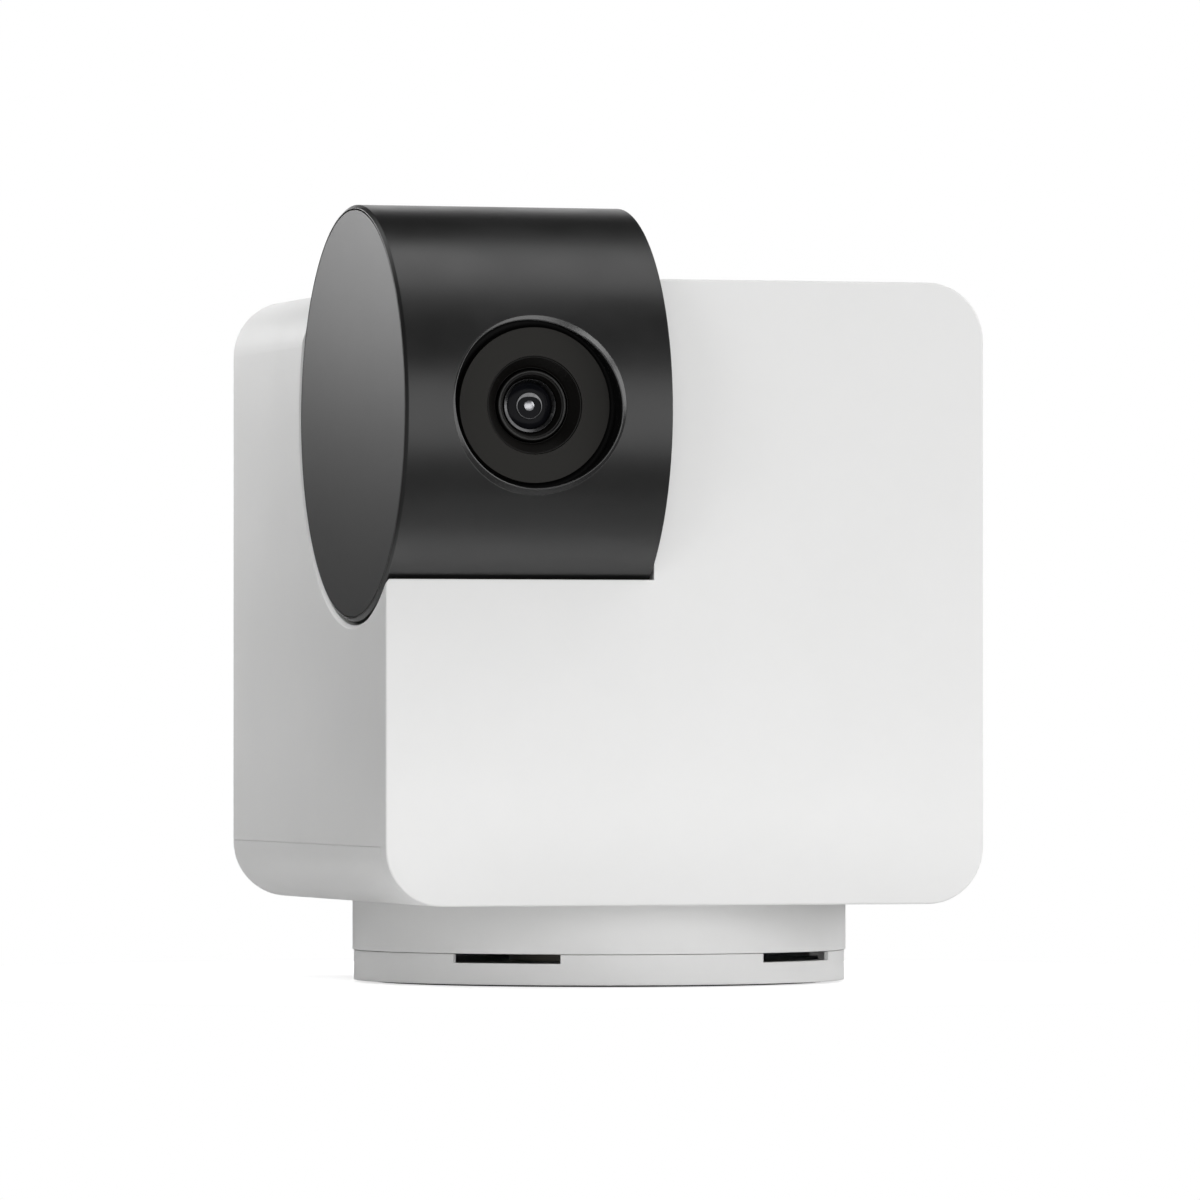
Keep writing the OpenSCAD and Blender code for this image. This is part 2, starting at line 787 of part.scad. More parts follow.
module pan_motor_shaft() {
  color(steel) at_pinion() translate([0, 0, z_deck]) flat_shaft(z_deck - z_gear0 + 0.3);
}

// Pinion that runs round the fixed gear
module pan_pinion() {
  color(natural) at_pinion() difference() {
    rotate([0, 0, 180 + 180 / pinion_teeth]) translate([0, 0, z_gear0 - 0.3])
      spur_gear(pinion_teeth, gear_mod, z_gear1 - z_gear0 + 0.6);
    translate([0, 0, z_deck]) flat_bore(z_gear0 - z_deck - 1, z_gear1 - z_deck + 1);
  }
}

// Tilt motor beside the cradle
module tilt_motor() {
  color(steel) at_tilt() geared_motor();
}

module tilt_motor_screws() {
  color(steel) at_tilt() motor_ear_screws(ear_t + motor_post + 0.8);
}

// Shaft from the tilt motor into the hub of the head
module tilt_shaft() {
  color(steel) at_tilt() flat_shaft(x_mount + motor_post - x_head + 8);
}

// Main board along the right wall
module main_board() {
  color(board_green) difference() {
    box(x_board, x_board + board_t, board_y - board_l / 2, board_y + board_l / 2,
      board_z - board_h / 2, board_z + board_h / 2);
    at_board_posts() rod_x(x_board - 1, x_board + board_t + 1, 1);
  }
}

module board_screws() {
  color(steel) at_board_posts() translate([x_board, 0, 0]) rotate([0, -90, 0])
    screw(1.7, 1, 0.75, board_t + board_gap - 0.4);
}

module shield_can() {
  color(steel) difference() {
    translate([x_board, can_y, can_z]) box(-can_t, 0, 0, can_side, 0, can_side);
    translate([x_board, can_y, can_z])
      box(0.3 - can_t, 1, 0.3, can_side - 0.3, 0.3, can_side - 0.3);
  }
}

module wifi_module() {
  color([0.1, 0.1, 0.12]) translate([x_board, radio_y, radio_z]) {
    box(-0.8, 0, -radio_w, 0, 0, radio_h);
    box(-2.2, -0.8, 0.8 - radio_w, -0.8, 0.8, radio_h - 5);
  }
}

module board_plugs() {
  color([0.93, 0.92, 0.88]) for (k = [-2:2]) {
    translate([x_board, board_y + plug_pitch * k, plug_z]) difference() {
      box(-plug_d, 0, -plug_w / 2, plug_w / 2, -1.8, plug_rise);
      box(-plug_d - 1, -1, 0.6 - plug_w / 2, plug_w / 2 - 0.6, -3, 1.6);
    }
  }
}

// Antenna strip under the top wall
module wifi_antenna() {
  color([0.15, 0.13, 0.1])
    translate([x_left + wall + 5, y_back - 7, z_body1 - wall])
    box(0, antenna_l, -antenna_w, 0, -0.4, 0);
}

// Perforated disc in the rear wall
module speaker_grille() {
  pitch = (speaker_r - 2.2) / grille_rings;
  color(white) translate([0, 0, speaker_z]) difference() {
    rod_y(y_rear - 1.3, y_rear - 0.15, speaker_r);
    rod_y(y_rear - 2, y_rear + 1, grille_hole);
    for (ring = [1:grille_rings]) {
      for (k = [0:6 * ring - 1]) {
        rotate([0, 360 * k / (6 * ring), 0]) translate([ring * pitch, 0, 0])
          rod_y(y_rear - 2, y_rear + 1, grille_hole);
      }
    }
  }
}

// Foam ring in front of the speaker
module speaker_gasket() {
  color([0.12, 0.12, 0.12]) translate([0, 0, speaker_z]) difference() {
    rod_y(y_back - 0.8, y_back, speaker_r);
    rod_y(y_back - 2, y_back + 1, speaker_r - 2);
  }
}

module speaker_frame() {
  color([0.2, 0.2, 0.22]) translate([0, 0, speaker_z]) difference() {
    union() {
      rod_y(y_back - 2.4, y_back - 0.8, speaker_r);
      translate([0, y_back - 4, 0]) rotate([-90, 0, 0])
        cylinder(h = 1.6, r1 = speaker_r - 4, r2 = speaker_r - 1);
    }
    rod_y(y_back - 2.2, y_back, speaker_r - 1.8);
    translate([0, y_back - 3.4, 0]) rotate([-90, 0, 0])
      cylinder(h = 1.4, r1 = speaker_r - 5.2, r2 = speaker_r - 2.4);
    rod_y(y_back - 5, y_back, speaker_r - 6.5);
  }
}

// Cone with its dust cap
module speaker_cone() {
  color([0.08, 0.08, 0.09]) translate([0, y_back - 2.2, speaker_z]) rotate([-90, 0, 0]) difference() {
    union() {
      cylinder(h = 0.5, r = speaker_r - 1.85);
      cylinder(h = 1.2, r1 = speaker_r - 7, r2 = speaker_r - 9);
    }
    translate([0, 0, -1]) cylinder(h = 1.3, r = speaker_r - 7.4);
    translate([0, 0, 0.25]) rotate_extrude() translate([speaker_r - 5.4, 0]) square([2, 1]);
  }
}

module speaker_magnet() {
  color(steel) translate([0, 0, speaker_z]) rod_y(y_back - speaker_d, y_back - 4, speaker_r - magnet_step);
}

// Power board on its posts behind the hub
module power_board() {
  color(board_green) difference() {
    box(-power_w / 2, power_w / 2, power_y0, power_y1, z_power, z_inlet);
    at_power_posts() rod_z(z_power - 1, z_inlet + 1, 1.2);
  }
}

module power_screws() {
  color(steel) at_power_posts() translate([0, 0, z_inlet]) screw(1.9, 1.1, 0.95, 4.6);
}

// USB-C inlet: metal shell with the contact tongue
module usb_socket() {
  y_mouth = y_rear - 0.9;
  color(steel) difference() {
    translate([0, y_mouth - usb_d, z_inlet + usb_h / 2]) plain_block(usb_w, usb_h, usb_d, 1.3);
    translate([0, y_mouth - usb_d + 1.2, z_inlet + usb_h / 2])
      plain_block(usb_w - 0.6, usb_h - 0.6, usb_d, 1.0);
  }
  color(black)
    box(-3.35, 3.35, y_mouth - usb_d + 1, y_mouth - 1, z_inlet + usb_h / 2 - 0.35,
      z_inlet + usb_h / 2 + 0.35);
}

// Microphone capsule behind its hole
module microphone() {
  color([0.3, 0.3, 0.32]) translate([mic_x, 0, 0]) difference() {
    union() {
      translate([0, 0, rear_z]) rod_y(y_back - 2.4, y_back - 0.3, mic_r);
      box(0.3 - mic_r, mic_r - 0.3, y_back - 2.4, y_back - 0.6, z_inlet, rear_z);
    }
    translate([0, 0, rear_z]) rod_y(y_back - 0.9, y_back, 0.5);
  }
}

// Side-push switch on the power board
module reset_switch() {
  color([0.15, 0.15, 0.16]) translate([button_x, 0, 0]) difference() {
    box(-switch_w / 2, switch_w / 2, y_back - 5, y_back - 1.6, z_inlet, z_inlet + 3.5);
    translate([0, 0, rear_z]) rod_y(y_back - 4, y_back - 1, plunger_r + run_fit);
  }
}

module switch_plunger() {
  color(natural) translate([button_x, 0, rear_z]) rod_y(y_back - 2.9, y_back - 0.75, plunger_r);
}

// Reset button with the flange that keeps it in the rear wall
module reset_button() {
  color(white) translate([button_x, 0, rear_z]) {
    rod_y(y_back - 0.75, y_back - 0.1, button_r + 0.6);
    rod_y(y_back - 0.75, y_rear - 0.25, button_r);
  }
}

// Head: tube with one end wall, hub, trunnion, sensor posts and the lens port
module head_shell() {
  hub_x = x_head - head_wall;
  color(black) at_head() difference() {
    union() {
      difference() {
        intersection() {
          rod_x(x_left, x_head, head_r);
          flare_x(x_left - 1, x_head + 1, head_r - rim_edge - 1, head_r - rim_edge + head_len + 1);
        }
        rod_x(x_left - 1, hub_x, head_r - head_wall);
        rod_x(x_left - 1, x_left + cap_t, head_r - cap_rim);
      }
      rod_x(hub_x - 6.5, x_head, shaft_r + 2.1);
      difference() {
        rod_x(hub_x, x_mount + 0.6, trunnion_r);
        rod_x(x_head, x_mount + 2, trunnion_bore);
      }
      translate([0, -head_y, -head_z]) intersection() {
        at_sensor_posts() rod_y(y_nose, y_sensor, 1.7);
        at_head() rod_x(x_left + cap_t, x_head, head_r - 0.5);
      }
    }
    translate([0, -head_y, -head_z]) {
      at_lens() rod_y(y_nose - 5, head_y - head_r + 9, port_r);
      at_sensor_posts() rod_y(y_sensor - 5, y_sensor + 1, 0.75);
      translate([0, lead_y, lead_z]) rod_x(hub_x - 1, x_head + 1, lead_r + 0.2);
    }
    translate([x_mount + motor_post, 0, 0]) rotate([0, 90, 0]) rotate([0, 0, 45])
      flat_bore(hub_x - 8 - x_mount - motor_post, x_head + 0.4 - x_mount - motor_post);
  }
}

// Flat end cap in the rim of the head shell
module head_cap() {
  color([0.25, 0.25, 0.26]) at_head() difference() {
    union() {
      rod_x(x_left, x_left + cap_groove, head_r - cap_rim - 0.12);
      rod_x(x_left + cap_groove, x_left + cap_t, head_r - cap_rim - seat_fit);
      rod_x(x_left + cap_t, x_left + cap_t + 1.2, head_r - head_wall - seat_fit);
    }
    rod_x(x_left + cap_t, x_left + cap_t + 3, head_r - head_wall - 1.4);
  }
}

// Bezel ring with a rounded crest and a ledge for the window
module lens_bezel() {
  r1 = port_r - 0.1;
  r0 = window_r + seat_fit;
  rim = (r1 - r0) / 2;
  y_ledge = y_window + window_t;
  color(black) at_lens() translate([0, y_bezel, 0]) rotate([-90, 0, 0]) {
    rotate_extrude() {
      translate([r0, rim]) square([r1 - r0, y_led - y_bezel - rim]);
      intersection() {
        translate([r0 + rim, rim]) circle(rim);
        translate([r0, 0]) square([2 * rim, rim]);
      }
      translate([r0 - 0.6, y_ledge - y_bezel]) square([1, 0.6]);
    }
  }
}

// Smoked window ring over the emitters
module ir_window() {
  color([0.17, 0.16, 0.15]) at_lens() difference() {
    rod_y(y_window, y_window + window_t, window_r);
    rod_y(y_window - 1, y_window + window_t + 1, aperture_r + seat_fit);
  }
}

// Light-blocking cone between the window and the barrel
module lens_shroud() {
  color(black) at_lens() translate([0, y_window + 0.1, 0]) rotate([-90, 0, 0]) difference() {
    cylinder(h = y_led - y_window + 0.6, r = aperture_r);
    translate([0, 0, -0.01]) cylinder(h = 1.2, r1 = aperture_r - 0.1, r2 = barrel_r + 0.25);
    translate([0, 0, -1]) cylinder(h = 10, r = barrel_r + 0.2);
  }
}

// Threaded barrel of the lens
module lens_barrel() {
  color(black) at_lens() translate([0, y_barrel, 0]) rotate([-90, 0, 0]) difference() {
    cylinder(h = lens_track - 2.4, r = barrel_r);
    translate([0, 0, -0.01]) cylinder(h = 1, r1 = barrel_r - 0.45, r2 = glass_r);
    translate([0, 0, 0.9]) cylinder(h = 2.1, r = glass_r);
    translate([0, 0, 0.5]) cylinder(h = lens_track - 3.3, r = glass_r - 0.5);
    translate([0, 0, lens_track - 4.3]) cylinder(h = 3, r = glass_r - 0.2);
  }
}

// Domed front glass
module lens_front() {
  bulge = glass_r * 1.35;
  color([0.1, 0.12, 0.2]) at_lens() translate([0, y_barrel, 0]) rotate([-90, 0, 0]) {
    intersection() {
      translate([0, 0, 0.75]) cylinder(h = 2.25, r = glass_r - seat_fit);
      translate([0, 0, 0.75 + bulge]) sphere(bulge);
    }
  }
}

// Rear lens group in the barrel
module lens_rear() {
  color([0.1, 0.12, 0.2]) at_lens() rod_y(y_sensor - 4.3, y_sensor - 2.7, glass_r - 0.2 - seat_fit);
}

// Holder of the barrel on the sensor board
module lens_holder() {
  holder_in = holder_side / 2 - 1.5;
  color(black) at_lens() difference() {
    union() {
      rod_y(y_sensor - 7, y_sensor - 1, barrel_r + 1.1);
      box(-holder_side / 2, holder_side / 2, y_sensor - 3.2, y_sensor, -holder_side / 2, holder_side / 2);
    }
    rod_y(y_sensor - 8, y_sensor - 1.5, barrel_r + seat_fit);
    box(-holder_in, holder_in, y_sensor - 2, y_sensor + 1, -holder_in, holder_in);
  }
}

module image_sensor() {
  color([0.2, 0.22, 0.3]) at_lens()
    box(-die_w / 2, die_w / 2, y_sensor - 0.9, y_sensor, -die_h / 2, die_h / 2);
}

module sensor_board() {
  color(board_green) difference() {
    at_lens() box(-sensor_side / 2, sensor_side / 2, y_sensor, y_sensor + board_t,
      -sensor_side / 2, sensor_side / 2);
    at_sensor_posts() rod_y(y_sensor - 1, y_sensor + board_t + 1, 0.95);
  }
}

module sensor_screws() {
  color(steel) at_sensor_posts() translate([0, y_sensor + board_t, 0]) rotate([-90, 0, 0])
    screw(1.5, 0.8, 0.7, board_t + 3.6);
}

// Ring board behind the window
module led_board() {
  color(board_green) at_lens() difference() {
    rod_y(y_led, y_led + 0.8, port_r - 0.3);
    rod_y(y_led - 1, y_led + 2, aperture_r + 0.1);
  }
}

// Six infrared emitters
module ir_leds() {
  color([0.9, 0.9, 0.85]) at_lens() for (k = [0:5]) {
    rotate([0, 60 * k, 0]) translate([(aperture_r + window_r) / 2 - 0.1, 0, 0]) {
      box(-emitter_w / 2, emitter_w / 2, y_led - 0.8, y_led, -emitter_l / 2, emitter_l / 2);
      rod_y(y_led - 1.3, y_led - 0.8, 0.7);
    }
  }
}

module status_led() {
  color([0.3, 0.7, 0.4]) at_lens() rotate([0, 30, 0]) translate([(aperture_r + window_r) / 2, 0, 0])
    box(-0.5, 0.5, y_led - 0.6, y_led, -0.8, 0.8);
}

module light_sensor() {
  color([0.2, 0.2, 0.2]) at_lens() rotate([0, 90, 0]) translate([(aperture_r + window_r) / 2, 0, 0])
    box(-0.6, 0.6, y_led - 0.7, y_led, -0.8, 0.8);
}

// Lead and plug on the sensor board, up to the end wall of the head
module sensor_lead() {
  color([0.1, 0.1, 0.1]) {
    translate([0, lead_y, lead_z]) rod_x(lens_x + 8.4, x_head + head_gap / 2 - 0.05, lead_r);
    box(lens_x + 6.4, lens_x + sensor_side / 2 - 0.4, min(lead_y - 0.5, y_sensor - 1.5),
      y_sensor, lead_z - 2, lead_z + 2);
  }
}

// Lead from the cradle to the main board
module head_lead() {
  color([0.1, 0.1, 0.1]) lead(concat([
    [x_head + head_gap / 2 + 0.05, lead_y, lead_z],
    [x_lead, lead_y, lead_z],
    [x_lead, lead_y, plug_z]
  ], to_plug(-2)), lead_r);
}

// Leads of the pan motor, the tilt motor, the speaker and the power board
module wire_leads() {
  pan_out = pan_reach + motor_offset + motor_r + wire_r + 0.1;
  tilt_out = (motor_offset + motor_r + wire_r + 0.1) * sin(45);
  color([0.65, 0.1, 0.08]) {
    lead(concat([
      [pan_out * cos(pan_at), pan_out * sin(pan_at), z_deck + motor_len - 3],
      [pan_out * cos(pan_at), pan_out * sin(pan_at), z_deck + motor_len + 2]
    ], to_plug(-1)), wire_r);
    lead(concat([
      [x_mount + motor_post + motor_len - 3, head_y + tilt_out, head_z - tilt_out],
      [x_mount + motor_post + motor_len, head_y + tilt_out, head_z - tilt_out]
    ], to_plug(0)), wire_r);
    lead(concat([
      [6, y_back - speaker_d, speaker_z],
      [6, y_back - speaker_d - 4, speaker_z]
    ], to_plug(1)), wire_r);
    lead(concat([
      [9.5, power_y0 + 3, z_inlet],
      [9.5, power_y0 + 3, z_inlet + 8]
    ], to_plug(2)), wire_r);
  }
}

foot_pad();
base_shell();
base_screws();
pan_gear();
post_washer();
post_screw();
bottom_tray();
pan_bush();
main_housing();
housing_screws();
pan_motor();
pan_motor_screws();
pan_motor_shaft();
pan_pinion();
tilt_motor();
tilt_motor_screws();
tilt_shaft();
main_board();
board_screws();
shield_can();
wifi_module();
board_plugs();
wifi_antenna();
speaker_grille();
speaker_gasket();
speaker_frame();
speaker_cone();
speaker_magnet();
power_board();
power_screws();
usb_socket();
microphone();
reset_switch();
switch_plunger();
reset_button();
head_shell();
head_cap();
lens_bezel();
ir_window();
lens_shroud();
lens_barrel();
lens_front();
lens_rear();
lens_holder();
image_sensor();
sensor_board();
sensor_screws();
led_board();
ir_leds();
status_led();
light_sensor();
sensor_lead();
head_lead();
wire_leads();
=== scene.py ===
import json
import math

import bmesh
import bpy
from mathutils import Matrix, Vector

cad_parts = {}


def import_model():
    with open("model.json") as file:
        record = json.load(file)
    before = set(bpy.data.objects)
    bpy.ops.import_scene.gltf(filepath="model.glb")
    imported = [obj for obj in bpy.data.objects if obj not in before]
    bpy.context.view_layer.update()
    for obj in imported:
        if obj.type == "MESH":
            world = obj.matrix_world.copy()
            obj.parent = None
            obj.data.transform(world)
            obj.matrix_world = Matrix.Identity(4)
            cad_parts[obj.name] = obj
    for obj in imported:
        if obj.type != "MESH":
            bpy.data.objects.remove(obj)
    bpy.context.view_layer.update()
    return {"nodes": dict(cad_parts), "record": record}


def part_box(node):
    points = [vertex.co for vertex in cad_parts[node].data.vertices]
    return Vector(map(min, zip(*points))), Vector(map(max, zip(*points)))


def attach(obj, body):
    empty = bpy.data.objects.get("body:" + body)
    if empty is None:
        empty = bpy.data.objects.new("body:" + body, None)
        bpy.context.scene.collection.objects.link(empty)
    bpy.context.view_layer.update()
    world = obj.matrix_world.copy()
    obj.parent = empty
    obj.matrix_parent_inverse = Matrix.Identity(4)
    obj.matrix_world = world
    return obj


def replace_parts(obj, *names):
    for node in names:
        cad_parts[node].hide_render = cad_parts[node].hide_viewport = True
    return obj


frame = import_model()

NODES = frame["nodes"]
MM = 0.001
X, Y, Z = range(3)


# Shader nodes

NOISE_LOW, NOISE_HIGH = 0.3, 0.7    # range that most of a noise lies in
BEVEL_SAMPLES = 6


def shader(name):
    """A new material, its node tree and its Principled shader."""
    mat = bpy.data.materials.new(name)
    mat.use_nodes = True
    tree = mat.node_tree
    return mat, tree, tree.nodes["Principled BSDF"]


def add(tree, kind, inputs=None, **settings):
    """A new node with these settings, and these values on its inputs."""
    node = tree.nodes.new(kind)
    for key, value in settings.items():
        setattr(node, key, value)
    for key, value in (inputs or {}).items():
        node.inputs[key].default_value = value
    return node


def noise(tree, size, detail=2.0, rough=0.5, stretch=None):
    """Noise with a grain of about that size in mm, in the piece's own coordinates."""
    place = add(tree, "ShaderNodeTexCoord").outputs["Object"]
    if stretch:
        mapping = add(tree, "ShaderNodeMapping", {"Scale": stretch})
        tree.links.new(place, mapping.inputs["Vector"])
        place = mapping.outputs["Vector"]
    tex = add(tree, "ShaderNodeTexNoise", {"Scale": 1.0 / (size * MM), "Detail": detail, "Roughness": rough})
    tree.links.new(place, tex.inputs["Vector"])
    return tex.outputs["Fac"]


def spread(tree, value, low, high, start=NOISE_LOW, end=NOISE_HIGH):
    """Maps start..end, which is a noise's range unless given, to low..high."""
    ends = {"From Min": start, "From Max": end, "To Min": low, "To Max": high}
    node = add(tree, "ShaderNodeMapRange", ends)
    tree.links.new(value, node.inputs["Value"])
    return node.outputs["Result"]


def blend(tree, value, one, two):
    """Colour between two, by a noise value."""
    ramp = add(tree, "ShaderNodeValToRGB")
    for stop, place, colour in zip(ramp.color_ramp.elements, (NOISE_LOW, NOISE_HIGH), (one, two)):
        stop.position = place
        stop.color = (*colour, 1)
    tree.links.new(value, ramp.inputs["Fac"])
    return ramp.outputs["Color"]


def relief(tree, value, depth, strength, edge):
    """Bump of a grain, over edges that are rounded by that radius, both in mm."""
    bevel = add(tree, "ShaderNodeBevel", {"Radius": edge * MM}, samples=BEVEL_SAMPLES)
    bump = add(tree, "ShaderNodeBump", {"Strength": strength, "Distance": depth * MM})
    tree.links.new(value, bump.inputs["Height"])
    tree.links.new(bevel.outputs["Normal"], bump.inputs["Normal"])
    return bump.outputs["Normal"]


def maths(tree, operation, *values):
    """Math node on values that are sockets or numbers."""
    node = add(tree, "ShaderNodeMath", operation=operation)
    for socket, value in zip(node.inputs, values):
        if isinstance(value, float):
            socket.default_value = value
        else:
            tree.links.new(value, socket)
    return node.outputs[0]


def length(tree, vector):
    """Length of a vector socket."""
    node = add(tree, "ShaderNodeVectorMath", operation="LENGTH")
    tree.links.new(vector, node.inputs[0])
    return node.outputs["Value"]


# Materials

COAT_TINT = (0.86, 0.88, 1.0, 1)
MASK_GREEN, MASK_PALE = (0.012, 0.12, 0.055, 1), (0.015, 0.135, 0.062, 1)
TRACK_GREEN = (0.03, 0.21, 0.09, 1)
HEAD_BLACK = (0.006, 0.006, 0.006), (0.0075, 0.0075, 0.0076)
NO_STRETCH = (1, 1, 1)


def moulded(name, one, two, rough, grain=0.22, depth=0.02, strength=0.25, edge=0.15, drift=9.0,
            specular=0.5, rough_spread=0.04):
    """Moulded plastic or rubber: a fine spark-eroded grain, and a slow drift of tone and gloss."""
    mat, tree, bsdf = shader(name)
    slow = noise(tree, drift, detail=3.0)
    fine = noise(tree, grain, detail=4.0, rough=0.6)
    tree.links.new(blend(tree, slow, one, two), bsdf.inputs["Base Color"])
    tree.links.new(spread(tree, slow, rough - rough_spread, rough + rough_spread), bsdf.inputs["Roughness"])
    tree.links.new(relief(tree, fine, depth, strength, edge), bsdf.inputs["Normal"])
    bsdf.inputs["Specular IOR Level"].default_value = specular
    return mat


def plated(name, one, two, rough, stretch, edge=0.08, rough_spread=0.07):
    """Plated sheet or turned metal with fine drawn lines, which the stretch gives their direction."""
    mat, tree, bsdf = shader(name)
    lines = noise(tree, size=0.5, detail=3.0, rough=0.6, stretch=stretch)
    slow = noise(tree, size=4.0)
    tree.links.new(blend(tree, slow, one, two), bsdf.inputs["Base Color"])
    tree.links.new(spread(tree, lines, rough - rough_spread, rough + rough_spread), bsdf.inputs["Roughness"])
    tree.links.new(relief(tree, lines, depth=0.01, strength=0.15, edge=edge), bsdf.inputs["Normal"])
    bsdf.inputs["Metallic"].default_value = 1.0
    return mat


def laminate(name, pitch=3.2):
    """Green solder mask over copper tracks that lie about that far apart, in mm."""
    mat, tree, bsdf = shader(name)
    coord = add(tree, "ShaderNodeTexCoord")
    tracks = add(tree, "ShaderNodeTexBrick", {
        "Scale": 1.0 / (pitch * MM), "Mortar Size": 0.035, "Mortar Smooth": 0.1,
        "Color1": MASK_GREEN, "Color2": MASK_PALE, "Mortar": TRACK_GREEN,
    })
    tree.links.new(coord.outputs["Object"], tracks.inputs["Vector"])
    tree.links.new(tracks.outputs["Color"], bsdf.inputs["Base Color"])
    slow = noise(tree, size=2.0)
    tree.links.new(spread(tree, slow, low=0.24, high=0.36), bsdf.inputs["Roughness"])
    bump = relief(tree, tracks.outputs["Fac"], depth=0.03, strength=0.4, edge=0.05)
    tree.links.new(bump, bsdf.inputs["Normal"])
    return mat


def glass(name, one, two, rough, ior, specular, coat, rough_spread=0.03, coat_rough=0.03):
    """Dark coated glass, with a faint drift of its tint and polish."""
    mat, tree, bsdf = shader(name)
    slow = noise(tree, size=1.5, detail=1.0)
    tree.links.new(blend(tree, slow, one, two), bsdf.inputs["Base Color"])
    tree.links.new(spread(tree, slow, rough, rough + rough_spread), bsdf.inputs["Roughness"])
    bsdf.inputs["IOR"].default_value = ior
    bsdf.inputs["Specular IOR Level"].default_value = specular
    bsdf.inputs["Coat Weight"].default_value = coat
    bsdf.inputs["Coat Roughness"].default_value = coat_rough
    bsdf.inputs["Coat Tint"].default_value = COAT_TINT
    return mat


# One material for each slot of the record
MATERIALS = {
    "white_plastic": moulded("white_moulding", (0.795, 0.795, 0.79), (0.815, 0.814, 0.81), 0.42),
    "black_plastic": moulded("black_moulding", *HEAD_BLACK, 0.34, grain=0.16, strength=0.18, edge=0.12),
    "cap_plastic": moulded("cap_moulding", (0.0305, 0.0305, 0.0305), (0.033, 0.033, 0.033), 0.42,
                           grain=0.14, strength=0.2, edge=0.08, rough_spread=0.008),
    "smoked_plastic": moulded("smoked_window", (0.0135, 0.0128, 0.0112), (0.0155, 0.0147, 0.013), 0.5,
                              grain=0.1, strength=0.06, edge=0.02, specular=0.14),
    "lens_black": moulded("lens_black", (0.0042, 0.0039, 0.0035), (0.006, 0.0055, 0.005), 0.4,
                          grain=0.1, strength=0.2, edge=0.06, specular=0.12),
    "lens_glass": glass("lens_glass", (0.0035, 0.0037, 0.005), (0.005, 0.005, 0.0066), 0.16,
                        ior=1.45, specular=0.06, coat=0.01),
    "foot_rubber": moulded("foot_rubber", (0.045, 0.045, 0.047), (0.06, 0.06, 0.062), 0.75,
                           grain=0.35, depth=0.05, strength=0.5, specular=0.3),
    "gear_plastic": moulded("natural_plastic", (0.72, 0.7, 0.62), (0.77, 0.75, 0.68), 0.38, drift=3.0),
    "screw_steel": plated("plated_screw", (0.52, 0.53, 0.55), (0.6, 0.61, 0.63), 0.28, stretch=(1, 1, 6)),
    "motor_steel": plated("plated_sheet", (0.58, 0.59, 0.6), (0.66, 0.67, 0.68), 0.3, stretch=(1, 8, 8)),
    "board_laminate": laminate("solder_mask"),
    "chip_black": moulded("chip_moulding", (0.012, 0.012, 0.014), (0.018, 0.018, 0.02), 0.55, grain=0.12),
    "lead_jacket": moulded("lead_jacket", (0.012, 0.012, 0.012), (0.02, 0.02, 0.02), 0.45,
                           grain=0.2, drift=3.0),
}

# Materials of single pieces
BEZEL_BLACK = moulded("bezel_black", (0.0022, 0.0022, 0.0022), (0.0034, 0.0034, 0.0034), 0.55,
                      grain=0.12, strength=0.3, edge=0.05, specular=0.06)
PORT_EDGE = moulded("port_edge", *HEAD_BLACK, 0.24,
                    grain=0.16, strength=0.12, edge=0.02, rough_spread=0.02, specular=0.75)
RIM_BLACK = moulded("rim_black", (0.005, 0.0048, 0.0044), (0.007, 0.0066, 0.006), 0.38,
                    grain=0.1, strength=0.2, edge=0.04, specular=0.35)
RING_METAL = plated("ring_metal", (0.07, 0.07, 0.072), (0.09, 0.09, 0.092), 0.3, NO_STRETCH, edge=0.02)
STOP_METAL = plated("stop_metal", (0.13, 0.13, 0.133), (0.16, 0.16, 0.163), 0.38, NO_STRETCH, edge=0.02)
COATED = glass("coated_element", (0.02, 0.021, 0.025), (0.03, 0.03, 0.034), 0.28,
               ior=2.4, specular=1.0, coat=0.3)

for row in frame["record"]["subparts"]:
    mesh = NODES[row["node"]].data
    mesh.materials.clear()
    mesh.materials.append(MATERIALS[row["material_slot"]])
NODES["lens_bezel"].data.materials[0] = BEZEL_BLACK


# Meshes

def placed(name, data):
    """A new object in the scene with this mesh, lamp or camera."""
    obj = bpy.data.objects.new(name, data)
    bpy.context.scene.collection.objects.link(obj)
    return obj


def swept(name, outlines, material, closed):
    """Piece through outlines of points in mm: smooth if it closes on itself, else flat and capped."""
    made = bmesh.new()
    rows = [[made.verts.new([c * MM for c in point]) for point in outline] for outline in outlines]
    following = rows[1:] + rows[:1] if closed else rows[1:]
    for one, two in zip(rows, following):
        for i in range(len(one)):
            j = (i + 1) % len(one)
            made.faces.new((one[i], one[j], two[j], two[i])).smooth = closed
    if not closed:
        made.faces.new(rows[0])
        made.faces.new(rows[-1])
    bmesh.ops.recalc_face_normals(made, faces=made.faces)
    mesh = bpy.data.meshes.new(name)
    made.to_mesh(mesh)
    made.free()
    mesh.materials.append(material)
    return placed(name, mesh)


# Places that the frame gives, in mm

def middle(box, axis):
    """Middle of a box along an axis."""
    return (box[0][axis] + box[1][axis]) / 2 / MM


def half_size(box, axis):
    """Half of a box's size along an axis."""
    return (box[1][axis] - box[0][axis]) / 2 / MM


WINDOW, CAP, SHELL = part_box("ir_window"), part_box("head_cap"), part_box("head_shell")
BARREL, BEZEL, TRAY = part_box("lens_barrel"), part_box("lens_bezel"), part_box("bottom_tray")
BEZEL_GAP = 0.1                     # between the bezel and the port's wall

